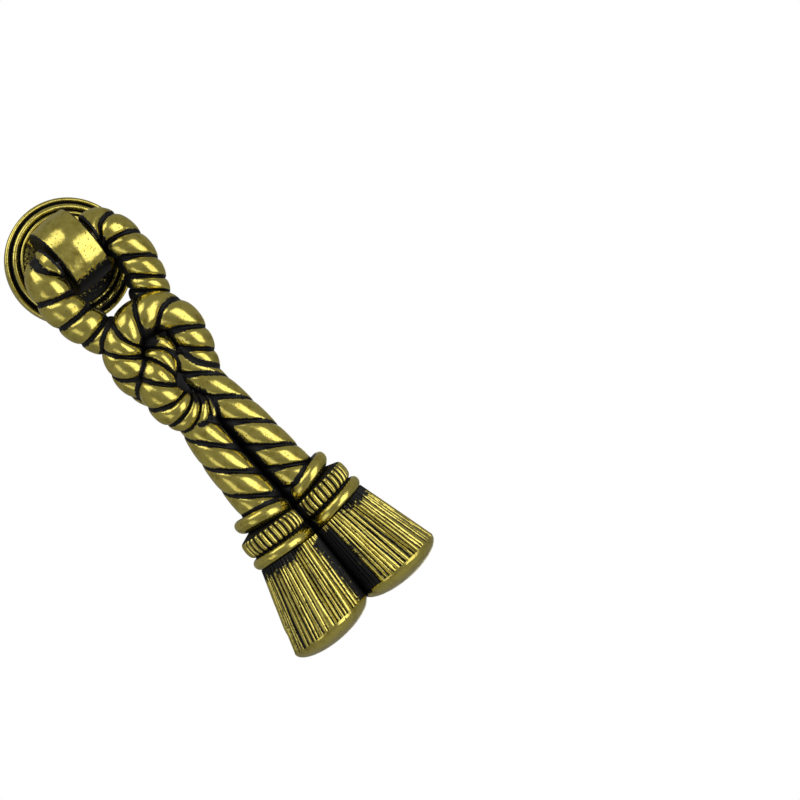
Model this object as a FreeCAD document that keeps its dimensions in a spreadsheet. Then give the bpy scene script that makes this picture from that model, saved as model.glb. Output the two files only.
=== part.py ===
import FreeCAD, Part
import math
import os
import Sketcher
from FreeCAD import Rotation, Vector

# Drop pull: a round rosette, an eye post standing out of it, a steel pin through the post and a cast drop
# that swings on the pin. The drop is a rope ring, a knot, two rope tails and two tassels.
# Frame: the rosette's back lies on y = 0 against the drawer front, -Y is the front, +Z is up and the origin
# is the centre of the screw hole. The drop hangs straight down.

DRIVING_SIZES = [
    # rosette, turned: heights are measured from its back
    ("rosette_radius", 12.0),
    ("rosette_edge", 1.4),
    ("rim_round", 0.45),
    ("rim_floor", 1.2),
    ("bead_radius", 10.1),
    ("bead_round", 0.65),
    ("bead_height", 2.0),
    ("bead_floor", 1.9),
    ("lip_radius", 8.85),
    ("lip_round", 0.4),
    ("lip_height", 2.5),
    ("recess_floor", 2.3),
    # eye post
    ("eye_width", 7.5),
    ("eye_arc", 8.5),
    ("eye_crown", 15.0),
    ("ridge_drop", 0.35),
    ("spigot_radius", 4.0),
    ("spigot_clearance", 0.05),
    ("screw_hole_radius", 1.65),
    ("screw_hole_depth", 6.5),
    # hinge pin
    ("pin_height", 10.0),
    ("pin_radius", 1.25),
    ("pin_clearance", 0.05),
    ("pin_blind_end", 9.3),
    ("pin_open_end", 10.4),
    ("pin_chamfer", 0.25),
    # drop: ring and knot
    ("side_gap", 0.8),
    ("rope_radius", 3.55),
    ("strand_core", 0.36),
    ("ring_half_width", 8.7),
    ("ring_shoulder", 1.2),
    ("ring_drop", 16.7),
    ("knot_radius", 3.75),
    ("knot_half_width", 6.4),
    ("knot_height", 21.9),
    ("knot_rise", 2.0),
    ("knot_web_half_width", 6.6),
    ("arm_lead", 11.0),
    ("knot_lead", 9.7),
    # drop: tails
    ("tail_length", 20.3),
    ("tail_radius", 3.45),
    ("tail_end_radius", 4.35),
    ("tail_lead", 19.0),
    # drop: collars and tassels
    ("upper_ring_reach", 5.5),
    ("upper_ring_round", 1.3),
    ("neck_gap", 1.9),
    ("knurl_reach", 6.15),
    ("knurl_height", 3.6),
    ("knurl_depth", 0.35),
    ("collar_gap", 0.3),
    ("lower_ring_reach", 6.4),
    ("lower_ring_round", 1.2),
    ("tassel_reach", 6.15),
    ("tassel_end_reach", 8.6),
    ("tassel_end_depth", 10.0),
    ("tassel_length", 15.1),
    ("flute_depth", 0.35),
    ("dome_depth", 3.4),
    ("valley_overlap", 0.2),
    ("back_plane", 3.5),
]
STRANDS = 3
POINTS_PER_STRAND = 4
SECTIONS_PER_TURN = 12
FLUTES = 36
ROUND_STEPS = 4
DOME_STEPS = 4
WEB_CORNERS = 20

doc = FreeCAD.newDocument("drop_pull")
sheet = doc.addObject("Spreadsheet::Sheet", "Sizes")
for row, (alias, value) in enumerate(DRIVING_SIZES, start=1):
    sheet.set("A%d" % row, alias)
    sheet.set("B%d" % row, str(value))
    sheet.setAlias("B%d" % row, alias)
doc.recompute()

TO_FRONT = Rotation(Vector(1, 0, 0), 90)
ALONG_X = Rotation(Vector(0, 1, 0), 90)
FRONT = Vector(0, -1, 0)


def size(alias):
    return float(sheet.get(alias))


def add(kind, name, sizes, place=(None, None, None), turn=None):
    """Add a primitive whose sizes and place are expressions of the sheet's aliases."""
    item = doc.addObject(kind, name)
    if turn:
        item.Placement.Rotation = turn
    for prop, expression in sizes.items():
        item.setExpression(prop, expression)
    for axis, expression in zip("xyz", place):
        if expression:
            item.setExpression("Placement.Base.%s" % axis, expression)
    return item


def fuse(name, items):
    joined = doc.addObject("Part::MultiFuse", name)
    joined.Shapes = items
    joined.Refine = False
    return joined


def cut(name, base, tool):
    result = doc.addObject("Part::Cut", name)
    result.Base = base
    result.Tool = tool
    result.Refine = False
    return result


def s(expression):
    """Write an expression over the sheet: every alias in it gets the sheet's name in front."""
    words = expression.split(" ")
    aliases = {alias for alias, value in DRIVING_SIZES}
    return " ".join("Sizes." + word if word in aliases else word for word in words)


def faceted(rings, tip=None):
    """Closed solid through rings of points with equal counts, laid as flat triangles. Each end is closed
    by a fan to its middle, which tip sets lower at the last ring."""
    count = len(rings[0])
    points = [point for ring in rings for point in ring]
    triangles = []
    for i in range(len(rings) - 1):
        for j in range(count):
            a = i * count + j
            b = i * count + (j + 1) % count
            c, d = a + count, b + count
            if points[a].distanceToPoint(points[d]) < points[b].distanceToPoint(points[c]):
                triangles += [(a, b, d), (a, d, c)]
            else:
                triangles += [(a, b, c), (b, d, c)]
    last = (len(rings) - 1) * count
    for first, flip in ((0, True), (last, False)):
        middle = Vector(0, 0, 0)
        for j in range(count):
            middle = middle + points[first + j]
        middle = middle * (1.0 / count)
        if tip is not None and first == last:
            middle.z = tip
        points.append(middle)
        centre = len(points) - 1
        for j in range(count):
            a, b = first + j, first + (j + 1) % count
            triangles.append((centre, b, a) if flip else (centre, a, b))
    shape = Part.Shape()
    shape.makeShapeFromMesh((points, triangles), 0.001, True)
    solid = Part.Solid(shape.Shells[0])
    if solid.Volume < 0:
        solid.reverse()
    return solid


def feature(name, shape):
    item = doc.addObject("Part::Feature", name)
    item.Shape = shape
    return item


def bound_sketch(body, plane, corners):
    """Closed outline in one of the body's origin planes, with each corner's place bound to the sheet."""
    sketch = body.newObject("Sketcher::SketchObject", body.Name + "_outline")
    sketch.AttachmentSupport = [(f, "") for f in body.Origin.OriginFeatures if f.Role == plane]
    sketch.MapMode = "FlatFace"
    count = len(corners)
    for i in range(count):
        angle = 2 * math.pi * i / count
        after = 2 * math.pi * (i + 1) / count
        sketch.addGeometry(Part.LineSegment(Vector(math.cos(angle), math.sin(angle), 0),
                                            Vector(math.cos(after), math.sin(after), 0)))
    for i in range(count):
        sketch.addConstraint(Sketcher.Constraint("Coincident", i, 2, (i + 1) % count, 1))
    for i, corner in enumerate(corners):
        for kind, expression in zip(("DistanceX", "DistanceY"), corner):
            bound = sketch.addConstraint(Sketcher.Constraint(kind, i, 1, 1.0))
            sketch.setExpression("Constraints[%d]" % bound, expression)
    return sketch


def moulding(radius, height, bulge):
    """Corners of a rounded moulding in a turned profile, from its outer to its inner side."""
    corners = []
    for step in range(ROUND_STEPS + 1):
        angle = 180 * step // ROUND_STEPS
        corners.append((s("%s + %s * cos( %d deg )" % (radius, bulge, angle)),
                        s("- %s - %s * sin( %d deg )" % (height, bulge, angle))))
    return corners


# Rosette: rim, bead and lip turned round the screw axis, with a flat recess inside the lip for the eye post
def make_rosette():
    bore = s("spigot_radius + spigot_clearance")
    corners = [(bore, "0"), (s("rosette_radius"), "0")]
    corners += moulding("rosette_radius - rim_round", "rosette_edge", "rim_round")
    corners += [(s("rosette_radius - 2 * rim_round"), s("- rim_floor")),
                (s("bead_radius + bead_round"), s("- rim_floor"))]
    corners += moulding("bead_radius", "bead_height", "bead_round")
    corners += [(s("bead_radius - bead_round"), s("- bead_floor")),
                (s("lip_radius + lip_round"), s("- bead_floor"))]
    corners += moulding("lip_radius", "lip_height", "lip_round")
    corners += [(s("lip_radius - lip_round"), s("- recess_floor")), (bore, s("- recess_floor"))]
    body = doc.addObject("PartDesign::Body", "rosette_body")
    outline = bound_sketch(body, "XY_Plane", corners)
    turned = body.newObject("PartDesign::Revolution", "rosette_turned")
    turned.Profile = outline
    turned.ReferenceAxis = (outline, ["V_Axis"])
    turned.Angle = 360
    body.Tip = turned
    body.Label = "rosette"
    return body


# Eye post: a knuckle round an axis along X, highest at its middle so that a ridge runs over it, cut flat
# where it sits in the rosette's recess, with a spigot through the rosette that is tapped from the back
def make_eye_post():
    axis_y = s("eye_arc - eye_crown")
    flanks = []
    for name, turn in (("flank_right", 90), ("flank_left", -90)):
        flanks.append(add("Part::Cone", name,
                          {"Radius1": s("eye_arc"), "Radius2": s("eye_arc - ridge_drop"),
                           "Height": s("eye_width / 2")},
                          place=(None, axis_y, None), turn=Rotation(Vector(0, 1, 0), turn)))
    below = add("Part::Box", "knuckle_base",
                {"Length": s("4 * eye_arc"), "Width": s("4 * eye_arc"), "Height": s("4 * eye_arc")},
                place=(s("-2 * eye_arc"), s("- recess_floor"), s("-2 * eye_arc")))
    knuckle = cut("knuckle", fuse("knuckle_round", flanks), below)
    spigot = add("Part::Cylinder", "spigot",
                 {"Radius": s("spigot_radius"), "Height": s("recess_floor + pin_radius")}, turn=TO_FRONT)
    screw_hole = add("Part::Cylinder", "screw_hole",
                     {"Radius": s("screw_hole_radius"), "Height": s("screw_hole_depth")}, turn=TO_FRONT)
    pin_bore = add("Part::Cylinder", "pin_bore",
                   {"Radius": s("pin_radius + pin_clearance"), "Height": s("2 * eye_width")},
                   place=(s("- eye_width"), s("- pin_height"), None), turn=ALONG_X)
    holes = fuse("post_holes", [screw_hole, pin_bore])
    post = cut("eye_post_cast", fuse("post_body", [knuckle, spigot]), holes)
    post.Label = "eye_post"
    return post


def make_hinge_pin():
    rod = add("Part::Cylinder", "pin_rod",
              {"Radius": s("pin_radius"), "Height": s("pin_blind_end + pin_open_end")},
              place=(s("- pin_blind_end"), s("- pin_height"), None), turn=ALONG_X)
    doc.recompute()
    pin = doc.addObject("Part::Chamfer", "pin_chamfered")
    pin.Base = rod
    bevel = size("pin_chamfer")
    rims = [i for i, edge in enumerate(rod.Shape.Edges, start=1) if edge.isClosed()]
    pin.Edges = [(i, bevel, bevel) for i in rims]
    pin.Label = "hinge_pin"
    return pin


def strand_ring(centre, side, front, radius, turn):
    """Section of a three-strand rope: the outline of round strands that overlap at the middle."""
    step = 2 * math.pi / STRANDS
    offset = size("strand_core") * radius
    strand = radius - offset
    ring = []
    for k in range(STRANDS):
        for j in range(POINTS_PER_STRAND):
            b = -step / 2 + step * j / POINTS_PER_STRAND
            reach = offset * math.cos(b) + math.sqrt(strand ** 2 - (offset * math.sin(b)) ** 2)
            a = turn + k * step + b
            ring.append(centre + side * (reach * math.cos(a)) + front * (reach * math.sin(a)))
    return ring


def rope(name, route, radius, end_radius, lead):
    """Twist the strand section along a smooth route: it turns once in each lead, left-handed."""
    curve = Part.BSplineCurve()
    curve.interpolate([Vector(*point) for point in route])
    length = curve.length()
    steps = max(4, int(round(SECTIONS_PER_TURN * length / lead)))
    rings = []
    for i in range(steps + 1):
        along = length * i / steps
        parameter = curve.parameterAtDistance(along, curve.FirstParameter)
        tangent = curve.tangent(parameter)[0]
        front = FRONT - tangent * FRONT.dot(tangent)
        front.normalize()
        here = radius + (end_radius - radius) * i / steps
        rings.append(strand_ring(curve.value(parameter), front.cross(tangent), front, here,
                                 -2 * math.pi * along / lead))
    return feature(name, faceted(rings))


# Ring: two arms that start beside the eye post, bow outwards and run down behind the knot
def make_arms():
    inner = size("eye_width") / 2 + size("side_gap")
    wide = size("ring_half_width")
    drop = size("ring_drop")
    shoulder = size("ring_shoulder")
    behind = 0.24 * size("rope_radius")
    route = [(inner, 0, shoulder), (0.76 * wide, 0, 0.5 * shoulder), (0.955 * wide, 0, -0.13 * drop),
             (wide, 0, -0.37 * drop), (0.91 * wide, 0, -0.62 * drop),
             (0.71 * wide, 0.5 * behind, -0.86 * drop), (0.48 * wide, behind, -1.09 * drop)]
    arms = []
    for name, side in (("right_arm", 1), ("left_arm", -1)):
        arms.append(rope(name, [(side * x, y, z) for x, y, z in route],
                         size("rope_radius"), size("rope_radius"), size("arm_lead")))
    return arms


# Knot: an arch over both arms whose ends dive behind, and a bend below that passes in front of its left leg.
# The routes are in shares of the knot's half width, rise and height.
def make_knot():
    wide = size("knot_half_width")
    top = -size("ring_drop")
    tall = size("knot_height")
    rise = size("knot_rise")
    arch = [(-0.4, 1.0, 0.66), (-0.83, 0.6, 0.484), (-1.01, -0.3, 0.274), (-0.74, -0.9, 0.068),
            (-0.03, -1.0, 0.0), (0.67, -0.9, 0.05), (1.0, -0.6, 0.233), (0.94, -0.15, 0.42),
            (0.72, 0.45, 0.6), (0.4, 1.0, 0.76)]
    bend = [(0.09, 0.4, 0.224), (-0.23, -0.3, 0.384), (-0.7, -0.9, 0.502), (-0.86, -1.0, 0.671),
            (-0.66, -0.9, 0.836), (-0.26, -0.1, 0.92), (0.2, 1.0, 0.94)]
    runs = []
    for name, route in (("knot_arch", arch), ("knot_bend", bend)):
        runs.append(rope(name, [(wide * x, rise * y, top - tall * z) for x, y, z in route],
                         size("knot_radius"), size("knot_radius"), size("knot_lead")))
    return runs


def oval(middle, half_wide, half_high, across, along):
    """Ring of points on an oval round middle, in the plane of the two directions across and along."""
    ring = []
    for j in range(WEB_CORNERS):
        angle = 2 * math.pi * j / WEB_CORNERS
        ring.append(middle + across * (half_wide * math.cos(angle))
                    + along * (half_high * math.sin(angle)))
    return ring


# Webs: the solid metal that closes the knot and the valley between the tails behind the ropes. The knot's
# is an upright oval that swells towards the back, the tails' a plain oval strip.
def make_webs():
    across, inwards, up = Vector(1, 0, 0), Vector(0, 1, 0), Vector(0, 0, 1)
    tall = size("knot_height")
    back = size("back_plane")
    knot_middle = -size("ring_drop") - 0.47 * tall
    knot_rings = []
    for depth, share in ((-0.4, 0.45), (0.0, 0.8), (0.4, 1.0), (1.2, 1.0)):
        knot_rings.append(oval(Vector(0, depth * back, knot_middle), share * size("knot_web_half_width"),
                               share * 0.52 * tall, across, up))
    tail_top = -size("ring_drop") - 0.8 * tall
    tail_end = -size("ring_drop") - tall - size("tail_length")
    tail_rings = []
    for height in (tail_top, tail_end):
        tail_rings.append(oval(Vector(0, 0.7 * back, height), 0.6 * size("tail_radius"), 0.4 * back,
                               across, inwards))
    return [feature("knot_web", faceted(knot_rings)), feature("tail_web", faceted(tail_rings))]


# Tails: two ropes side by side that widen towards the collars
def make_tails():
    knot_end = -size("ring_drop") - size("knot_height")
    end = knot_end - size("tail_length")
    first = size("tail_radius")
    last = size("tail_end_radius")
    overlap = size("valley_overlap")
    tails = []
    for name, side, start in (("right_tail", 1, 0.58), ("left_tail", -1, 0.25)):
        route = [(side * 0.6 * first, 0.3 * first, knot_end + start * size("knot_height")),
                 (side * (first - overlap / 2), 0, knot_end),
                 (side * (last - overlap / 2), 0, end)]
        tails.append(rope(name, route, first, last, size("tail_lead")))
    return tails


def round_ring(middle, reach, height, ridge=0.0, depth=None, centre_y=0.0):
    """Ring of points round an upright axis at x = middle, with alternate points set in by ridge."""
    ring = []
    for j in range(2 * FLUTES):
        angle = math.pi * j / FLUTES
        share = 1 - (ridge / reach if j % 2 else 0)
        ring.append(Vector(middle + share * reach * math.cos(angle),
                           centre_y + share * (depth or reach) * math.sin(angle), height))
    return ring


def smooth_collar(side, reach, bulge, height):
    """Rings of points over a round collar, from its top to its bottom."""
    middle = side * (reach - size("valley_overlap") / 2)
    rings = []
    for step in range(ROUND_STEPS + 1):
        angle = math.pi * (0.5 - step / ROUND_STEPS)
        rings.append(round_ring(middle, reach - bulge + bulge * math.cos(angle),
                                height + bulge * math.sin(angle)))
    return rings


# Collars and tassels: on each tail a smooth collar, a knurled band, a second collar and a fluted flaring
# skirt that is closed by a plain dome
def make_tassel(name, side):
    overlap = size("valley_overlap")
    upper = -size("ring_drop") - size("knot_height") - size("tail_length")
    knurl_top = upper - size("neck_gap")
    knurl_end = knurl_top - size("knurl_height")
    lower = knurl_end - size("collar_gap") - size("lower_ring_round")
    skirt_top = lower - size("lower_ring_round")
    skirt_end = skirt_top - size("tassel_length")
    rings = smooth_collar(side, size("upper_ring_reach"), size("upper_ring_round"), upper)
    reach = size("knurl_reach")
    ridge = size("knurl_depth")
    bevel = 2 * ridge
    for height, here in ((knurl_top, reach - bevel), (knurl_top - bevel, reach), (knurl_end + bevel, reach),
                         (knurl_end, reach - bevel)):
        rings.append(round_ring(side * (reach - overlap / 2), here, height, ridge))
    rings += smooth_collar(side, size("lower_ring_reach"), size("lower_ring_round"), lower)
    flute = size("flute_depth")
    reach = size("tassel_reach")
    rings.append(round_ring(side * (reach - overlap / 2), reach, skirt_top, flute))
    reach = size("tassel_end_reach")
    depth = size("tassel_end_depth")
    back = size("back_plane")
    middle = side * (reach - overlap / 2)
    rings.append(round_ring(middle, reach, skirt_end, flute, depth, back))
    for step in range(1, DOME_STEPS):
        angle = 0.5 * math.pi * step / DOME_STEPS
        share = math.cos(angle)
        rings.append(round_ring(middle, share * reach, skirt_end - size("dome_depth") * math.sin(angle),
                                0.0, share * depth, back))
    return feature(name, faceted(rings, skirt_end - size("dome_depth")))


# Drop: everything above as one casting, flat behind, drilled for the pin from its right side
def make_tassel_drop():
    ropes = fuse("drop_ropes", make_arms() + make_knot() + make_webs() + make_tails())
    tassels = fuse("drop_tassels", [make_tassel("right_tassel", 1), make_tassel("left_tassel", -1)])
    casting = fuse("drop_casting", [ropes, tassels])
    behind = add("Part::Box", "flat_back",
                 {"Length": s("8 * tassel_end_reach"), "Width": s("2 * tassel_end_depth"),
                  "Height": s("ring_drop + knot_height + tail_length + 4 * tassel_length")},
                 place=(s("-4 * tassel_end_reach"), s("back_plane"),
                        s("- ring_drop - knot_height - tail_length - 3 * tassel_length")))
    pin_seat = add("Part::Cylinder", "pin_seat",
                   {"Radius": s("pin_radius"), "Height": s("pin_blind_end + 2 * ring_half_width")},
                   place=(s("- pin_blind_end"), None, None), turn=ALONG_X)
    drop = cut("drop_drilled", cut("drop_flat", casting, behind), pin_seat)
    drop.setExpression("Placement.Base.y", s("- pin_height"))
    drop.Label = "tassel_drop"
    return drop


parts = [make_rosette(), make_eye_post(), make_hinge_pin(), make_tassel_drop()]
doc.recompute()

for item in doc.Objects:
    if "Invalid" in item.State or "Error" in item.State:
        raise RuntimeError("failed: %s %s" % (item.Name, item.State))
for part in parts:
    if part.Shape.isNull() or not part.Shape.isValid():
        raise RuntimeError("bad shape: " + part.Label)
    if len(part.Shape.Solids) != 1:
        raise RuntimeError("%s is %d solids" % (part.Label, len(part.Shape.Solids)))

os.makedirs("parts", exist_ok=True)
for part in parts:
    part.Shape.exportStep("parts/%s.step" % part.Label)
    box = part.Shape.BoundBox
    print("%s: volume %.1f mm3, x %.2f..%.2f, y %.2f..%.2f, z %.2f..%.2f"
          % (part.Label, part.Shape.Volume, box.XMin, box.XMax, box.YMin, box.YMax, box.ZMin, box.ZMax))
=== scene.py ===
import math

import bpy
import numpy as np
from mathutils import Matrix


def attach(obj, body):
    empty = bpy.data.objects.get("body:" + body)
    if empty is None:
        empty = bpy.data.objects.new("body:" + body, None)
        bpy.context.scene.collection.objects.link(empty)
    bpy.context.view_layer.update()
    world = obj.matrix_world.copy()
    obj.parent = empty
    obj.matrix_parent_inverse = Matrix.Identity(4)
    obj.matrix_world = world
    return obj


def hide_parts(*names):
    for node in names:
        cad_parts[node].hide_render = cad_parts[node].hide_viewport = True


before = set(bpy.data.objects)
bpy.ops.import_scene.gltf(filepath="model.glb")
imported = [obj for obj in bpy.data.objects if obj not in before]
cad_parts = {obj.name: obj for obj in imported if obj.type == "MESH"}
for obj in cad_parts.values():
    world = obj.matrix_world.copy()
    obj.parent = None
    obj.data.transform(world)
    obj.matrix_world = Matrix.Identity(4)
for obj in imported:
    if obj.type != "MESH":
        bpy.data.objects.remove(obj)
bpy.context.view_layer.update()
millimetre = 0.001
touching = 0.01  # millimetres within which a point counts as lying on a surface
straightBack = 0.9999  # a face whose normal has this much of +Y looks straight back
frontAxis = np.array([0.0, -1.0, 0.0])
pinPlace = np.array([0.0, -10.0, 0.0])  # the drop's own shapes are laid out round the pin's axis


# Camera: placed like the photograph's, with the pull lying across the picture; angles in degrees, sizes in mm
cameraSet = {
    "azimuth": -14.1, "elevation": 2.5, "roll": 40.6, "distance": 634.6, "lens": 153.0, "sensor": 36.0,
    "aim": (29.1, -8.0, -59.65), "clip": (10.0, 20000.0),
}


def viewAxes(settings):
    # right, up and back of the picture: a turn about the upright, a lift, then a roll about the line of sight
    turn, lift, roll = (math.radians(settings[key]) for key in ("azimuth", "elevation", "roll"))
    back = np.array([math.sin(turn) * math.cos(lift), -math.cos(turn) * math.cos(lift), math.sin(lift)])
    level = np.array([0.0, 0.0, 1.0]) - back * back[2]
    level /= np.linalg.norm(level)
    up = math.cos(roll) * level + math.sin(roll) * np.cross(level, back)
    return np.cross(up, back), up, back


def placeCamera(settings):
    right, up, back = viewAxes(settings)
    place = (np.array(settings["aim"]) + settings["distance"] * back) * millimetre
    data = bpy.data.cameras.new("photoCamera")
    data.lens = settings["lens"]
    data.sensor_width = settings["sensor"]
    data.clip_start, data.clip_end = (way * millimetre for way in settings["clip"])
    camera = bpy.data.objects.new("photoCamera", data)
    bpy.context.scene.collection.objects.link(camera)
    matrix = np.eye(4)
    matrix[:3, 0], matrix[:3, 1], matrix[:3, 2], matrix[:3, 3] = right, up, back, place
    camera.matrix_world = Matrix(matrix.tolist())
    bpy.context.scene.camera = camera


placeCamera(cameraSet)
print("camera placed")


# Meshes from grids of points: each row is a ring that closes on itself
def shellFaces(rows, columns, joined):
    # quads between a ring and the next; joined shells also run from the last ring back to the first
    row, column = np.meshgrid(np.arange(rows if joined else rows - 1), np.arange(columns), indexing="ij")
    here, after = row * columns, (row + 1) % rows * columns
    beside = (column + 1) % columns
    return np.stack([here + column, here + beside, after + beside, after + column], -1).reshape(-1, 4)


def endFans(rows, columns):
    # triangles that close the first and the last ring to their middle points
    column = np.arange(columns)
    beside = (column + 1) % columns
    first = np.stack([np.full(columns, rows * columns), beside, column], -1)
    last = np.stack([np.full(columns, rows * columns + 1), column, beside], -1)
    last[:, 1:] += (rows - 1) * columns
    return np.concatenate([first, last])


def signedVolume(points, quads, fans):
    # sum of the corner pyramids of all triangles over the origin: below nothing where faces look inwards
    triangles = np.concatenate([quads[:, [0, 1, 2]], quads[:, [0, 2, 3]], fans])
    a, b, c = (points[triangles[:, k]] for k in range(3))
    return np.einsum("ij,ij->", a, np.cross(b, c)) / 6


def shellMesh(name, grid, groove=0.0, joined=False):
    # closed skin over the rings; groove says how much dark patina each point keeps, 0 to 1
    rows, columns = grid.shape[:2]
    points = grid.reshape(-1, 3)
    values = np.broadcast_to(groove, (rows, columns)).ravel()
    quads = shellFaces(rows, columns, joined)
    fans = np.zeros((0, 3), int)
    if not joined:
        points = np.concatenate([points, grid[:1].mean(axis=1), grid[-1:].mean(axis=1)])
        values = np.append(values, values[[0, -1]])
        fans = endFans(rows, columns)
    if signedVolume(points, quads, fans) < 0:
        quads, fans = quads[:, ::-1], fans[:, ::-1]
    mesh = bpy.data.meshes.new(name)
    mesh.from_pydata(points.tolist(), [], quads.tolist() + fans.tolist())
    kept = mesh.attributes.new("groove", "FLOAT", "POINT")
    kept.data.foreach_set("value", values.astype(np.float32))
    return mesh


def castTogether(name, shells, cutters):
    # union of closed shells, less the cutters, as one closed skin
    helpers = []
    for mesh in shells + cutters:
        helper = bpy.data.objects.new(mesh.name, mesh)
        bpy.context.scene.collection.objects.link(helper)
        helpers.append(helper)
    for index, helper in enumerate(helpers[1:], start=1):
        step = helpers[0].modifiers.new(helper.name, "BOOLEAN")
        step.operation = "UNION" if index < len(shells) else "DIFFERENCE"
        step.solver = "MANIFOLD"
        step.object = helper
    ready = helpers[0].evaluated_get(bpy.context.evaluated_depsgraph_get())
    mesh = bpy.data.meshes.new_from_object(ready)
    mesh.name = name
    for helper in helpers:
        bpy.data.objects.remove(helper)
    return mesh


def meshPoints(mesh):
    points = np.zeros(len(mesh.vertices) * 3)
    mesh.vertices.foreach_get("co", points)
    return points.reshape(-1, 3)


def meshValues(mesh, key):
    values = np.zeros(len(mesh.vertices), np.float32)
    mesh.attributes[key].data.foreach_get("value", values)
    return values


def finishPiece(name, mesh, hollow, material, body, node, sharpAngle):
    # the mesh goes from millimetres to metres and takes its hollow value, finish and body
    points = meshPoints(mesh) * millimetre
    mesh.vertices.foreach_set("co", points.astype(np.float32).ravel())
    value = mesh.attributes.new("hollow", "FLOAT", "POINT")
    value.data.foreach_set("value", hollow.astype(np.float32))
    mesh.shade_smooth()
    mesh.set_sharp_from_angle(angle=math.radians(sharpAngle))
    normal = np.zeros(len(mesh.polygons) * 3)
    mesh.polygons.foreach_get("normal", normal)
    mesh.polygons.foreach_set("use_smooth", normal[1::3] < straightBack)
    mesh.materials.clear()
    mesh.materials.append(material)
    mesh.update()
    piece = bpy.data.objects.new(name, mesh)
    bpy.context.scene.collection.objects.link(piece)
    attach(piece, body)
    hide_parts(node)
    triangles = sum(len(face.vertices) - 2 for face in mesh.polygons)
    print(name, "points", len(mesh.vertices), "triangles", triangles)


# Colours and nodes
def linearColour(code):
    # sRGB hex to linear light
    part = np.array([int(code[k:k + 2], 16) for k in (1, 3, 5)]) / 255
    light = np.where(part <= 0.04045, part / 12.92, ((part + 0.055) / 1.055) ** 2.4)
    return (*light.tolist(), 1.0)


def addNode(tree, kind, settings=None, values=None, links=None):
    # a node with its settings, its constant inputs and the sockets that feed it
    made = tree.nodes.new(kind)
    for key, value in (settings or {}).items():
        setattr(made, key, value)
    for key, value in (values or {}).items():
        made.inputs[key].default_value = value
    for key, socket in (links or {}).items():
        tree.links.new(socket, made.inputs[key])
    return made


def perMetre(size):
    # texture scale at which one pattern cell is about this many millimetres
    return 1 / (size * millimetre)


# Antique brass: zinc casting, brass plated, blackened and buffed back. The buffed high spots are bright and
# smooth, the hollows stay black and dull, and the border between them is ragged.
brassSet = {
    "bright": "#E6D66E", "olive": "#B8A446", "black": "#0B0B0E",
    "mottle": 1.8, "mottleFrom": 0.5, "mottleTo": 0.75,
    "ragged": 0.55, "raggedDepth": 0.62, "blackFrom": 0.4, "blackTo": 0.62,
    # specks: partly pits, partly painted dark reflections in the highlights
    "speck": 0.4, "speckFrom": 0.63, "speckTo": 0.71, "speckBlack": 0.75,
    "wave": 1.5, "waveDepth": 0.06, "grain": 0.25, "grainDepth": 0.014, "grainStrength": 0.5,
    "brightRough": 0.21, "blackRough": 0.5, "blackSheen": 0.3,
}


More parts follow.
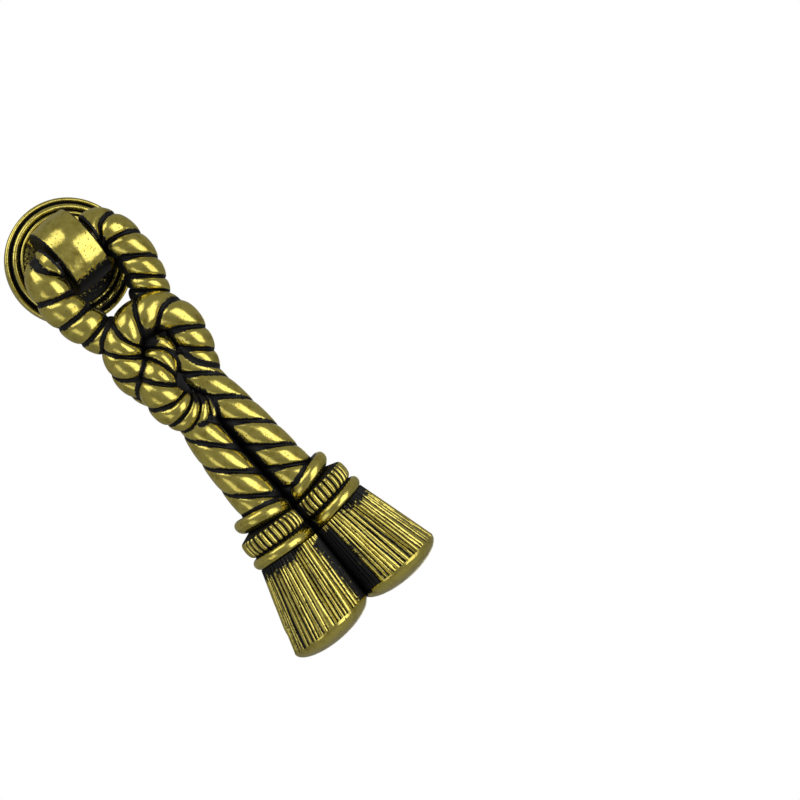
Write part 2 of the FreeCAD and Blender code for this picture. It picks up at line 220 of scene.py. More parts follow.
def antiqueBrass(settings):
    material = bpy.data.materials.new("antiqueBrass")
    material.use_nodes = True
    tree = material.node_tree
    tree.nodes.clear()
    place = addNode(tree, "ShaderNodeTexCoord").outputs["Object"]
    hollow = addNode(tree, "ShaderNodeAttribute", {"attribute_name": "hollow"}).outputs["Fac"]
    # black where the hollow value, pushed up and down by a noise, is high
    ragged = addNode(tree, "ShaderNodeTexNoise",
                     values={"Scale": perMetre(settings["ragged"]), "Detail": 4.0, "Roughness": 0.65},
                     links={"Vector": place}).outputs["Fac"]
    spread = addNode(tree, "ShaderNodeMath", {"operation": "MULTIPLY_ADD"},
                     {1: 2 * settings["raggedDepth"], 2: -settings["raggedDepth"]}, {0: ragged}).outputs[0]
    depth = addNode(tree, "ShaderNodeMath", {"operation": "ADD"}, links={0: hollow, 1: spread}).outputs[0]
    black = addNode(tree, "ShaderNodeMapRange", {"interpolation_type": "SMOOTHSTEP"},
                    {"From Min": settings["blackFrom"], "From Max": settings["blackTo"]},
                    {"Value": depth}).outputs["Result"]
    # small dark specks: pits that the buffing left dark, and painted dark reflections that break up the
    # highlights
    specks = addNode(tree, "ShaderNodeTexNoise",
                     values={"Scale": perMetre(settings["speck"]), "Detail": 2.0},
                     links={"Vector": place}).outputs["Fac"]
    specksAndDarkReflections = addNode(tree, "ShaderNodeMapRange",
                     values={"From Min": settings["speckFrom"], "From Max": settings["speckTo"],
                             "To Max": settings["speckBlack"]},
                     links={"Value": specks}).outputs["Result"]
    black = addNode(tree, "ShaderNodeMath", {"operation": "MAXIMUM"}, links={0: black, 1: specksAndDarkReflections}).outputs[0]
    # brass with duller patches
    mottle = addNode(tree, "ShaderNodeTexNoise",
                     values={"Scale": perMetre(settings["mottle"]), "Detail": 5.0, "Roughness": 0.6},
                     links={"Vector": place}).outputs["Fac"]
    tone = addNode(tree, "ShaderNodeMapRange",
                   values={"From Min": settings["mottleFrom"], "From Max": settings["mottleTo"]},
                   links={"Value": mottle}).outputs["Result"]
    brass = addNode(tree, "ShaderNodeMix", {"data_type": "RGBA"},
                    {6: linearColour(settings["bright"]), 7: linearColour(settings["olive"])},
                    {"Factor": tone}).outputs[2]
    colour = addNode(tree, "ShaderNodeMix", {"data_type": "RGBA"}, {7: linearColour(settings["black"])},
                     {"Factor": black, 6: brass}).outputs[2]
    metal = addNode(tree, "ShaderNodeMapRange", values={"To Min": 1.0, "To Max": 0.0},
                    links={"Value": black}).outputs["Result"]
    rough = addNode(tree, "ShaderNodeMapRange",
                    values={"To Min": settings["brightRough"], "To Max": settings["blackRough"]},
                    links={"Value": black}).outputs["Result"]
    # uneven buffing and a fine casting grain
    wave = addNode(tree, "ShaderNodeTexNoise",
                   values={"Scale": perMetre(settings["wave"]), "Detail": 1.0},
                   links={"Vector": place}).outputs["Fac"]
    uneven = addNode(tree, "ShaderNodeBump", values={"Distance": settings["waveDepth"] * millimetre},
                     links={"Height": wave}).outputs["Normal"]
    grain = addNode(tree, "ShaderNodeTexNoise",
                    values={"Scale": perMetre(settings["grain"]), "Detail": 3.0},
                    links={"Vector": place}).outputs["Fac"]
    bump = addNode(tree, "ShaderNodeBump",
                   values={"Strength": settings["grainStrength"],
                           "Distance": settings["grainDepth"] * millimetre},
                   links={"Height": grain, "Normal": uneven}).outputs["Normal"]
    shader = addNode(tree, "ShaderNodeBsdfPrincipled",
                     values={"Specular IOR Level": settings["blackSheen"]},
                     links={"Base Color": colour, "Metallic": metal, "Roughness": rough, "Normal": bump})
    addNode(tree, "ShaderNodeOutputMaterial", links={"Surface": shader.outputs[0]})
    return material


# Drawn steel: a plain ground rod. The grinding marks run round it and are drawn coarse enough to show.
steelSet = {"colour": "#B9B8B4", "ring": 2.2, "ringStray": 2.0, "rough": 0.32, "roughSpread": 0.06}


def drawnSteel(settings):
    material = bpy.data.materials.new("drawnSteel")
    material.use_nodes = True
    tree = material.node_tree
    tree.nodes.clear()
    place = addNode(tree, "ShaderNodeTexCoord").outputs["Object"]
    ringScale = 2 * math.pi * perMetre(settings["ring"]) / 20  # a wave's phase runs 20 times its scale
    rings = addNode(tree, "ShaderNodeTexWave", {"bands_direction": "X"},
                    {"Scale": ringScale, "Distortion": settings["ringStray"]},
                    {"Vector": place}).outputs["Fac"]
    rough = addNode(tree, "ShaderNodeMapRange",
                    values={"To Min": settings["rough"] - settings["roughSpread"],
                            "To Max": settings["rough"] + settings["roughSpread"]},
                    links={"Value": rings}).outputs["Result"]
    shader = addNode(tree, "ShaderNodeBsdfPrincipled",
                     values={"Base Color": linearColour(settings["colour"]), "Metallic": 1.0},
                     links={"Roughness": rough})
    addNode(tree, "ShaderNodeOutputMaterial", links={"Surface": shader.outputs[0]})
    return material


brassFinish = antiqueBrass(brassSet)
steelFinish = drawnSteel(steelSet)
print("finishes made")


# Turned and plain shapes, sizes in millimetres
def turnedGrid(profile, axis, middle, columns):
    # each profile row is (distance along the axis, radius): a ring of that radius round the axis
    profile = np.asarray(profile, float)
    angle = np.linspace(0, 2 * math.pi, columns, endpoint=False)
    across = {"x": (1, 2), "y": (2, 0)}[axis]
    grid = np.zeros((len(profile), columns, 3))
    grid[..., "xyz".index(axis)] = profile[:, :1]
    grid[..., across[0]] = profile[:, 1:] * np.cos(angle)
    grid[..., across[1]] = profile[:, 1:] * np.sin(angle)
    return grid + np.asarray(middle, float)


def arcRows(middle, radius, start, end, steps):
    # points on a quarter or half round in a profile, angles in degrees
    angle = np.radians(np.linspace(start, end, steps))
    return np.stack([middle[0] + radius * np.cos(angle), middle[1] + radius * np.sin(angle)], -1)


def rodGrid(start, end, radius, axis, middle, columns, bevel=0.0):
    # straight rod, its ends bevelled where a bevel is given
    rows = [(start, radius - bevel), (start + bevel, radius), (end - bevel, radius), (end, radius - bevel)]
    return turnedGrid(rows if bevel else [rows[0], rows[3]], axis, middle, columns)


def slabGrid(low, high):
    # plain block between two corners
    (x0, y0, z0), (x1, y1, z1) = low, high
    ring = np.array([(x0, y0), (x1, y0), (x1, y1), (x0, y1)])
    bottom = np.column_stack([ring, np.full(4, z0)])
    top = np.column_stack([ring, np.full(4, z1)])
    return np.stack([bottom, top])


def ovalGrid(rows, columns):
    # each row is (middle, half width, half height, second direction): an oval in X and that direction
    angle = np.linspace(0, 2 * math.pi, columns, endpoint=False)
    rings = []
    for middle, halfWide, halfHigh, along in rows:
        ring = (np.array(middle) + halfWide * np.cos(angle)[:, None] * np.array([1.0, 0, 0])
                + halfHigh * np.sin(angle)[:, None] * np.array(along, float))
        rings.append(ring)
    return np.stack(rings)


def ramp(value, low, high):
    # 0 below low, 1 above high, eased between
    share = np.clip((value - low) / (high - low), 0, 1)
    return share * share * (3 - 2 * share)


# Rosette: rim, bead and lip round the screw axis. Heights stand over the back face, patina runs from 0 to 1.
rosetteSet = {
    "radius": 12.0, "edge": 1.4, "rimRound": 0.45, "rimFloor": 1.2,
    "beadRadius": 10.1, "beadRound": 0.65, "beadHeight": 2.0, "beadFloor": 1.9,
    "lipRadius": 8.85, "lipRound": 0.4, "lipHeight": 2.5, "recessFloor": 2.3, "recessRing": 2.0,
    "bore": 4.05, "backBevel": 0.15, "floorEdge": 0.06, "roundSteps": 17, "columns": 192,
    "crownPatina": 0.15, "sidePatina": 0.95, "crownRise": (0.3, 0.95), "floorPatina": 1.0,
    # the last two settings give a painted shade that darkens the rosette towards its bottom, under the drop
    "recessPatina": 0.5, "plainPatina": 0.27, "paintedShade": 0.35, "paintedShadeReach": (5.0, 9.0),
}


def rosetteRounds(s):
    # middle radius, middle height and bulge of the rim, the bead and the lip
    return [(s["radius"] - s["rimRound"], s["edge"], s["rimRound"]),
            (s["beadRadius"], s["beadHeight"], s["beadRound"]),
            (s["lipRadius"], s["lipHeight"], s["lipRound"])]


def rosetteGrid(s):
    # closed outline of (radius, height) carried round the screw axis: the back, a half round and a floor for
    # each moulding, then the recess
    floors = [s["rimFloor"], s["beadFloor"], s["recessFloor"]]
    rows = [np.array([(s["bore"], 0.0), (s["radius"] - s["backBevel"], 0.0), (s["radius"], s["backBevel"])])]
    for (middle, top, bulge), floor in zip(rosetteRounds(s), floors):
        rows.append(arcRows((middle, top), bulge, 0, 180, s["roundSteps"]))
        rows.append(np.array([(middle - bulge, floor), (middle - bulge - s["floorEdge"], floor)]))
    rows.append(np.array([(s["bore"] + s["recessRing"], s["recessFloor"]), (s["bore"], s["recessFloor"])]))
    outline = np.concatenate(rows)
    return turnedGrid(np.stack([-outline[:, 1], outline[:, 0]], -1), "y", (0, 0, 0), s["columns"])


def rosetteHollow(points, s):
    # bright on the crowns of the mouldings, black in the floors between them, half dark in the recess, darker
    # towards the bottom by painted shade where the drop hangs in front, plain on the outer edge and the back
    radius = np.hypot(points[:, 0], points[:, 2])
    height = -points[:, 1]
    patina = np.where(radius < s["lipRadius"] - s["lipRound"], s["recessPatina"], s["floorPatina"])
    for middle, top, bulge in rosetteRounds(s):
        onRound = np.hypot(radius - middle, height - top) < bulge + touching
        buffed = ramp((height - top) / bulge, *s["crownRise"])
        patina = np.where(onRound, s["sidePatina"] + (s["crownPatina"] - s["sidePatina"]) * buffed, patina)
    # painted shade: the rosette's lower part is darkened where the drop hangs in front of it
    shadeBelow = s["paintedShade"] * ramp(-points[:, 2], *s["paintedShadeReach"])
    outside = (radius > s["radius"] - s["rimRound"]) & (height < s["edge"] + s["rimRound"])
    return np.where(outside | (height < touching), s["plainPatina"], patina + shadeBelow)


rosetteMesh = shellMesh("rosetteCasting", rosetteGrid(rosetteSet), joined=True)
finishPiece("rosettePlate", rosetteMesh, rosetteHollow(meshPoints(rosetteMesh), rosetteSet), brassFinish,
            "base", "rosette", sharpAngle=40)


# Eye post: ridged knuckle round a crosswise axis, spigot behind it, tapped hole and pin bore
eyeSet = {
    "width": 7.7, "arc": 7.6, "crown": 15.0, "lift": 0.8, "ridgeDrop": 0.35, "ridgeSoft": 0.03,
    "hub": 0.4, "sideRing": 0.6, "edgeRound": 0.45, "edgeEnd": 97, "edgeSteps": 9,
    "flankGap": 0.3, "flankRise": 0.01, "flankSteps": 14, "columns": 224,
    "seat": 2.3, "spigot": 4.0, "spigotReach": 1.2, "spigotColumns": 96,
    "screwHole": 1.65, "screwDepth": 6.5, "screwClear": 1.0, "pinHeight": 10.0, "bore": 1.3,
    "boreColumns": 64, "cutReach": 20,
    "plainPatina": 0.12, "sidePatina": 0.8, "sideReach": 0.5, "footPatina": 0.85, "footReach": (2.8, 6.0),
    "ridgePatina": 0.32, "ridgeReach": (0.05, 0.3),
}


def eyeGrid(s):
    # radius over width: flat side, quarter round at the edge, straight flank up to the ridge, then mirrored
    half = s["width"] / 2
    edge = s["arc"] - s["ridgeDrop"] - s["edgeRound"]
    side = [(-half, s["hub"]), (-half, s["sideRing"] * edge)]
    corner = arcRows((-half + s["edgeRound"], edge), s["edgeRound"], 180, s["edgeEnd"], s["edgeSteps"])
    flankWay = np.linspace(-half + s["edgeRound"] + s["flankGap"], 0, s["flankSteps"])
    flankRadius = np.linspace(edge + s["edgeRound"] + s["flankRise"], s["arc"], s["flankSteps"])
    flank = np.stack([flankWay, flankRadius], -1)[:-1]
    left = np.concatenate([side, corner, flank])
    ridge = np.array([(0, s["arc"] - s["ridgeSoft"])])
    right = left[::-1] * np.array([-1, 1])
    middle = (0, s["arc"] - s["crown"], s["lift"])
    return turnedGrid(np.concatenate([left, ridge, right]), "x", middle, s["columns"])


def eyeMesh(s):
    # the knuckle is cut off level with its seat, joined to the spigot and bored for the screw and the pin
    far = s["cutReach"]
    belowSeat = shellMesh("belowSeat", slabGrid((-far, -s["seat"], -far), (far, far, far)))
    knuckle = castTogether("knuckle", [shellMesh("knuckleRound", eyeGrid(s))], [belowSeat])
    spigot = shellMesh("spigot", rodGrid(-s["seat"] - s["spigotReach"], 0, s["spigot"], "y", (0, 0, 0),
                                         s["spigotColumns"]))
    screwHole = shellMesh("screwHole", rodGrid(-s["screwDepth"], s["screwClear"], s["screwHole"], "y",
                                               (0, 0, 0), s["boreColumns"]))
    bore = shellMesh("bore", rodGrid(-far, far, s["bore"], "x", (0, -s["pinHeight"], 0), s["boreColumns"]))
    return castTogether("eyePostCasting", [knuckle, spigot], [screwHole, bore])


def eyeHollow(points, s):
    # black on the flat sides and below the band's lower end, specks along the ridge
    x, y, z = points.T
    half = s["width"] / 2
    side = s["sidePatina"] * ramp(np.abs(x), half - s["sideReach"], half) * (y < -s["seat"])
    foot = s["footPatina"] * ramp(-z, *s["footReach"])
    ridge = s["ridgePatina"] * (1 - ramp(np.abs(x), *s["ridgeReach"]))
    return s["plainPatina"] + np.maximum(np.maximum(side, foot), ridge)


eyeCasting = eyeMesh(eyeSet)
finishPiece("eyePost", eyeCasting, eyeHollow(meshPoints(eyeCasting), eyeSet), brassFinish,
            "base", "eye_post", sharpAngle=30)


# Hinge pin: pressed into the drop, turning in the eye post
pinSet = {"blindEnd": -9.3, "openEnd": 10.4, "radius": 1.245, "bevel": 0.25, "columns": 48}


def pinGrid(s):
    # bevelled rod along the pin's axis
    return rodGrid(s["blindEnd"], s["openEnd"], s["radius"], "x", pinPlace, s["columns"], s["bevel"])


pinMesh = shellMesh("hingePin", pinGrid(pinSet))
finishPiece("hingePin", pinMesh, np.zeros(len(pinMesh.vertices)), steelFinish,
            "drop", "hinge_pin", sharpAngle=30)


# Rope runs: twisted strands along a smooth route
def smoothRoute(points, spacing, fineSteps=3000):
    # cubic spline through the points over their chord length, read at equal steps along its own length
    points = np.asarray(points, float)
    last = len(points) - 1
    chord = np.concatenate([[0], np.cumsum(np.linalg.norm(np.diff(points, axis=0), axis=1))])
    step = np.diff(chord)
    inner = np.arange(1, last)
    system = np.eye(last + 1)
    system[inner, inner - 1] = step[:-1]
    system[inner, inner] = 2 * (step[:-1] + step[1:])
    system[inner, inner + 1] = step[1:]
    wanted = np.zeros((last + 1, 3))
    wanted[inner] = 6 * np.diff(np.diff(points, axis=0) / step[:, None], axis=0)
    bend = np.linalg.solve(system, wanted)

    def read(at):
        k = np.clip(np.searchsorted(chord, at, side="right") - 1, 0, last - 1)
        h = step[k][:, None]
        a, b = (chord[k + 1] - at)[:, None], (at - chord[k])[:, None]
        return ((bend[k] * a ** 3 + bend[k + 1] * b ** 3) / (6 * h)
                + (points[k] / h - bend[k] * h / 6) * a + (points[k + 1] / h - bend[k + 1] * h / 6) * b)

    fine = np.linspace(0, chord[-1], fineSteps)
    dense = read(fine)
    length = np.concatenate([[0], np.cumsum(np.linalg.norm(np.diff(dense, axis=0), axis=1))])
    along = np.linspace(0, length[-1], int(length[-1] / spacing) + 2)
    path = read(np.interp(along, length, fine))
    tangent = np.gradient(path, axis=0)
    return along, path, tangent / np.linalg.norm(tangent, axis=1, keepdims=True)


def ropeGrid(route, radii, grooves, strands, inner, cut, s):
    # phase counts the grooves passed along the rope's front and runs on round the rope by the strands' count;
    # reach falls by a power of the way from a strand's crown to its groove, with a narrow cut in the groove,
    # and grooves get shallower towards the rope's two sides
    along, path, tangent = smoothRoute(route, s["spacing"])
    front = frontAxis - tangent * (tangent @ frontAxis)[:, None]
    front /= np.linalg.norm(front, axis=1, keepdims=True)
    side = np.cross(front, tangent)
    share = along / along[-1]
    marks = np.array(grooves)
    passed = (np.interp(share, marks, np.arange(len(marks)))
              + np.minimum(share - marks[0], 0) / (marks[1] - marks[0])
              + np.maximum(share - marks[-1], 0) / (marks[-1] - marks[-2]))[:, None]
    turn = -2 * math.pi * passed / strands if strands > 1 else 0 * passed  # columns follow twisted strands
    angle = turn + np.linspace(0, 2 * math.pi, s["columns"], endpoint=False)
    phase = passed + strands * (angle / (2 * math.pi) - 0.25)  # the front is a quarter turn round
    away = np.abs(2 * np.mod(phase, 1) - 1)
    keep = cut["sideKeep"] + (1 - cut["sideKeep"]) * np.sin(angle) ** 2
    fall = cut["round"] * away ** cut["power"] + cut["cut"] * np.exp(-((1 - away) / cut["width"]) ** 2)
    reach = np.linspace(radii[0], radii[1], len(along))[:, None] * (1 - fall * keep)
    grid = (path[:, None] + side[:, None] * (reach * np.cos(angle))[..., None]
            + front[:, None] * (reach * np.sin(angle))[..., None])
    # patina: in the grooves, wider towards the rope's inner side, all along that side and at the rope's start
    inwards = inner * np.cos(angle)
    patina = ramp(away + s["innerWiden"] * ramp(inwards, *s["innerReach"]), cut["blackFrom"], 1.0)
    patina = np.maximum(patina, ramp(inwards, *cut["blackSide"]))
    return grid, np.maximum(patina, 1 - ramp(along, *s["startReach"])[:, None])


# Tassel drop: rope ring, knot, two tails, collars and tassels, one casting that is flat behind
dropSet = {
    "armRadii": (3.9, 3.9), "knotRadii": (3.75, 3.75), "tailRadii": (3.45, 4.35),
    "knotHalf": 6.4, "knotRise": 2.0, "knotTop": -16.7, "knotHeight": 21.9, "tailLength": 20.3,
    # where each tail starts inside the knot: share of the knot's height, then shares of its own radius
    "tailStarts": {"rightTail": 0.58, "leftTail": 0.25}, "tailTuck": (0.6, 0.3),
    "ropeCut": {"round": 0.2, "power": 2.2, "cut": 0.1, "width": 0.22, "sideKeep": 0.5, "blackFrom": 0.6,
                "blackSide": (0.66, 0.94)},
    "tailCut": {"round": 0.16, "power": 2.4, "cut": 0.1, "width": 0.18, "sideKeep": 0.3, "blackFrom": 0.64,
                "blackSide": (0.62, 0.9)},
    "innerWiden": 0.2, "innerReach": (0.0, 0.9), "startReach": (0.2, 0.8),
    "armRoute": [(4.6, 0, 1.02), (6.35, 0, 0.72), (7.97, 0, -2.17), (8.35, 0, -6.2), (7.6, 0, -10.35),
                 (5.93, 0.43, -14.4), (4.0, 0.85, -18.2)],
    "archShares": [(-0.4, 1.0, 0.66), (-0.83, 0.6, 0.484), (-1.01, -0.3, 0.274), (-0.74, -0.9, 0.068),
                   (-0.03, -1.0, 0.0), (0.67, -0.9, 0.05), (1.0, -0.6, 0.233), (0.94, -0.15, 0.42),
                   (0.72, 0.45, 0.6), (0.4, 1.0, 0.76)],
    "bendShares": [(0.09, 0.4, 0.224), (-0.23, -0.3, 0.384), (-0.7, -0.9, 0.502), (-0.86, -1.0, 0.671),
                   (-0.66, -0.9, 0.836), (-0.26, -0.1, 0.92), (0.2, 1.0, 0.94)],
    "strands": {"rightArm": 2, "leftArm": 1, "arch": 2, "bend": 2, "rightTail": 3, "leftTail": 3},
    # shares of each run's length at which a groove crosses its front
    "grooves": {
        "rightArm": (0.078, 0.266, 0.499, 0.674, 0.792, 0.92),
        "leftArm": (0.11, 0.348, 0.561, 0.749, 0.93),
        "arch": (0.1, 0.2, 0.303, 0.371, 0.471, 0.591, 0.734, 0.832, 0.92),
        "bend": (0.13, 0.266, 0.401, 0.586, 0.677, 0.749, 0.83, 0.91),
        "rightTail": (0.187, 0.371, 0.556, 0.744, 0.887),
        "leftTail": (0.193, 0.419, 0.642, 0.86),
    },
    # places in X and Z where the strands run together into a black pit
    "pits": [(-0.6, -20.9), (-0.6, -34.5)], "pitReach": (0.7, 3.6), "pitSpread": 0.6, "pitGain": (1.3, 0.35),
    "seamAngle": 40, "seamReach": (0.25, 1.1), "seamEnd": -59.5, "seamHalf": 0.8,
    "backPlane": 3.5, "backPatina": 0.27, "overlap": 0.2, "spacing": 0.17, "columns": 66,
    "seatRadius": 1.25, "seatEnd": 30, "cutHalf": 60, "cutBottom": -120, "cutTop": 40,
}


def knotRoute(shares, s):
    # shares of the knot's half width, rise and height, measured from its top
    shares = np.asarray(shares, float)
    return np.column_stack([shares[:, 0] * s["knotHalf"], shares[:, 1] * s["knotRise"],
                            s["knotTop"] - shares[:, 2] * s["knotHeight"]])


def ropeShells(s):
    # each run is (name, route, radii at its two ends, side of the rope that looks inwards, groove shape)
    runs = []
    for name, side in (("rightArm", 1), ("leftArm", -1)):
        route = np.array(s["armRoute"]) * np.array([side, 1, 1])
        runs.append((name, route, s["armRadii"], -side, s["ropeCut"]))
    for name, inner in (("arch", -1), ("bend", 1)):
        runs.append((name, knotRoute(s[name + "Shares"], s), s["knotRadii"], inner, s["ropeCut"]))
    knotEnd = s["knotTop"] - s["knotHeight"]
    first, last = s["tailRadii"]
    inwards, behind = s["tailTuck"]
    for name, side in (("rightTail", 1), ("leftTail", -1)):
        route = [(side * inwards * first, behind * first, knotEnd + s["tailStarts"][name] * s["knotHeight"]),
                 (side * (first - s["overlap"] / 2), 0, knotEnd),
                 (side * (last - s["overlap"] / 2), 0, knotEnd - s["tailLength"])]
        runs.append((name, route, s["tailRadii"], -side, s["tailCut"]))
    return [shellMesh(name, *ropeGrid(route, radii, s["grooves"][name], s["strands"][name], inner, cut, s))
            for name, route, radii, inner, cut in runs]


# Webs: metal behind the knot, and in the valley between the tails and between the collars. Heights are shares
# of the knot's height, depths shares of the back plane's, and the tail web's width a share of the tails'
# radius; the knot web's width and the tail web's way past the tails are in millimetres.
webSet = {
    "knotMiddle": 0.47, "knotHalfWide": 6.6, "knotHalfHigh": 0.52,
    "knotRings": ((-0.4, 0.45), (0.0, 0.8), (0.4, 1.0), (1.2, 1.0)),  # (depth, share of the full oval)
    "tailTop": 0.8, "tailPast": 9.1, "tailHalfWide": 0.6, "tailDepth": 0.7, "tailHalfDeep": 0.4,
    "columns": 40,
}


def webShells(s, web):
    # ovals that widen towards the back for the knot, one straight oval bar for the tails
    back = s["backPlane"]
    middle = s["knotTop"] - web["knotMiddle"] * s["knotHeight"]
    knot = [((0, depth * back, middle), share * web["knotHalfWide"],
             share * web["knotHalfHigh"] * s["knotHeight"], (0, 0, 1)) for depth, share in web["knotRings"]]
    top = s["knotTop"] - web["tailTop"] * s["knotHeight"]
    end = s["knotTop"] - s["knotHeight"] - s["tailLength"] - web["tailPast"]
    tail = [((0, web["tailDepth"] * back, height), web["tailHalfWide"] * s["tailRadii"][0],
             web["tailHalfDeep"] * back, (0, 1, 0)) for height in (top, end)]
    return [shellMesh("knotWeb", ovalGrid(knot, web["columns"]), 1.0),
            shellMesh("tailWeb", ovalGrid(tail, web["columns"]), 1.0)]


# Tassels: smooth collar, knurled band, second collar, fluted skirt and plain dome on each tail
tasselSet = {
    "upper": -58.9, "upperReach": 5.5, "upperRound": 1.5, "upperDrape": 0.2, "neckGap": 1.9,
    "knurlReach": 6.15, "knurlHeight": 3.6, "knurlDepth": 0.5, "knurlDrape": 0.09, "knurls": 30,
    # the band's rounded profile: (share of its height, inset from its reach)
    "knurlProfile": ((0, 0.8), (0.05, 0.42), (0.12, 0.2), (0.22, 0.06), (0.36, -0.02), (0.5, -0.05),
                     (0.64, -0.02), (0.78, 0.06), (0.88, 0.2), (0.95, 0.42), (1, 0.8)),
    "collarGap": 0.3, "lowerReach": 6.4, "lowerRound": 1.2, "lowerDrape": 0.11,
    "skirtReach": 6.15, "skirtLength": 15.1, "endReach": 8.6, "endDepth": 10.0,
    "flutes": 52, "fluteDepth": 0.36, "fluteWander": 0.18, "fluteStray": ((0.03, 9), (0.012, 23)),
    "domeDepth": 3.34, "domeGap": 0.06, "collarRows": 15, "skirtRows": 30, "domeRows": 16, "columns": 312,
    # patina: how much, and where its ramps start and end
    "collarBlack": (0.9, 1.5), "bandEdgeBlack": (0.15, 0.6), "knurlBlack": (0.2, 0.65),
    "fluteBlack": (0.1, 0.8), "valleyBlack": (1.2, 4.2), "valleyTop": (0.9, 1.8), "valleyPatina": 0.8,
    "topBlack": (1.5, 7.0), "topEnd": (-0.5, 3.6), "topPatina": 0.85, "seamBlack": (0.4, 1.2),
    "domePatina": 0.16, "fluteRagged": 0.15, "valleyRagged": 0.4, "topRagged": 0.25,
}


def ridgeDrop(count, angle, power=0.9):
    # 0 on the crown of each ridge round the ring, 1 in the groove between two
    return 1 - np.abs(np.cos(count * angle / 2)) ** power


def collarRings(height, reach, bulge, drape, s):
    # half round from its top to its bottom, black at both ends
    turn = np.linspace(math.pi / 2, -math.pi / 2, s["collarRows"])
    ring = reach - bulge + bulge * np.cos(turn)
    patina = ramp(np.abs(turn), *s["collarBlack"])
    return [(height + bulge * math.sin(t), reach, r, r, 0, 0, 0, drape, p)
            for t, r, p in zip(turn, ring, patina)]


def tasselRings(s, drop, skirtTop, lower):
    # rings from the collar's top to the dome's tip, each (height, base reach, reach, depth, y of the middle,
    # knurl depth, flute depth, drape, patina); drape lifts a ring's outer side
    rows = collarRings(s["upper"], s["upperReach"], s["upperRound"], s["upperDrape"], s)
    for share, inset in s["knurlProfile"]:
        height = s["upper"] - s["neckGap"] - share * s["knurlHeight"]
        reach = s["knurlReach"] - inset
        rows.append((height, s["knurlReach"], reach, reach, 0, s["knurlDepth"], 0, s["knurlDrape"],
                     ramp(inset, *s["bandEdgeBlack"])))
    rows += collarRings(lower, s["lowerReach"], s["lowerRound"], s["lowerDrape"], s)
    for share in np.linspace(0, 1, s["skirtRows"]):
        reach = s["skirtReach"] + (s["endReach"] - s["skirtReach"]) * share
        depth = s["skirtReach"] + (s["endDepth"] - s["skirtReach"]) * share
        rows.append((skirtTop - share * s["skirtLength"], reach, reach, depth, share * drop["backPlane"], 0,
                     s["fluteDepth"], s["lowerDrape"] * (1 - share), 0))
    domeTop = skirtTop - s["skirtLength"] - s["domeGap"]
    for turn in np.linspace(0, math.pi / 2, s["domeRows"])[:-1]:
        share = math.cos(turn)
        rows.append((domeTop - s["domeDepth"] * math.sin(turn), s["endReach"], s["endReach"] * share,
                     s["endDepth"] * share, drop["backPlane"], 0, 0, 0, s["domePatina"]))
    return np.array(rows).T[..., None]


def tasselGrid(side, s, drop):
    # oval rings, lowered by the knurls and flutes round them, then lifted on their outer side by the drape
    lower = s["upper"] - s["neckGap"] - s["knurlHeight"] - s["collarGap"] - s["lowerRound"]
    skirtTop = lower - s["lowerRound"]
    height, base, reach, depth, behind, knurl, flute, drape, patina = tasselRings(s, drop, skirtTop, lower)
    angle = np.linspace(0, 2 * math.pi, s["columns"], endpoint=False)
    # flutes are of uneven width: the angle is pushed to and fro round the ring by two sines
    (slow, slowWaves), (quick, quickWaves) = s["fluteStray"]
    uneven = angle + slow * np.sin(slowWaves * angle + side) + quick * np.sin(quickWaves * angle)
    # each flute wanders in depth by a sine of its number and of the height; the large factors only scatter it
    number = np.floor(s["flutes"] * uneven / (2 * math.pi) + 0.5)
    wander = np.sin(91.7 * number + 0.55 * height) + np.sin(37.3 * number * number)
    knurlRidge, fluteRidge = ridgeDrop(s["knurls"], angle), ridgeDrop(s["flutes"], uneven)
    lowered = knurl * knurlRidge + flute * fluteRidge * (1 + s["fluteWander"] * wander)
    middle = side * (base - drop["overlap"] / 2)
    across = (reach - lowered) * np.cos(angle)
    y = behind - (depth - lowered) * np.sin(angle)
    grid = np.stack([middle + across, y, height + drape * side * across], -1)
    # patina: grooves, the valley between the tassels, the skirt's top outside its middle, the collars' seam
    fromMiddle = np.abs(grid[..., 0])
    below = skirtTop - grid[..., 2]
    onSkirt = (flute > 0) + 0 * angle
    valley = 1 - ramp(fromMiddle + s["valleyRagged"] * wander, *s["valleyBlack"])
    valley *= ramp(below, *s["valleyTop"]) * (s["valleyPatina"] + (1 - s["valleyPatina"]) * fluteRidge)
    top = s["topPatina"] * ramp(fromMiddle, *s["topBlack"])
    top *= 1 - ramp(below + s["topRagged"] * wander, *s["topEnd"])
    seam = (flute == 0) * (below < 0) * (1 - ramp(fromMiddle, *s["seamBlack"]))
    patina = np.maximum(patina, (knurl > 0) * ramp(knurlRidge, *s["knurlBlack"]))
    patina = np.maximum(patina, onSkirt * ramp(fluteRidge + s["fluteRagged"] * wander, *s["fluteBlack"]))
    patina = np.maximum(patina, onSkirt * np.maximum(valley, top))
    return grid, np.maximum(patina, seam)


def dropMesh(s, web, tassel, pin):
    # ropes, webs and tassels laid out round the pin's axis, cut flat behind, bored for the pin, then placed
    shells = ropeShells(s) + webShells(s, web)
    for name, side in (("rightTassel", 1), ("leftTassel", -1)):
        shells.append(shellMesh(name, *tasselGrid(side, tassel, s)))
    flatBack = slabGrid((-s["cutHalf"], s["backPlane"], s["cutBottom"]),
                        (s["cutHalf"], s["cutHalf"], s["cutTop"]))
    pinSeat = rodGrid(pin["blindEnd"], s["seatEnd"], s["seatRadius"], "x", (0, 0, 0), pin["columns"])
    cutters = [shellMesh("flatBack", flatBack), shellMesh("pinSeat", pinSeat)]
    mesh = castTogether("tasselDropCasting", shells, cutters)
    mesh.transform(Matrix.Translation(pinPlace.tolist()))
    return mesh


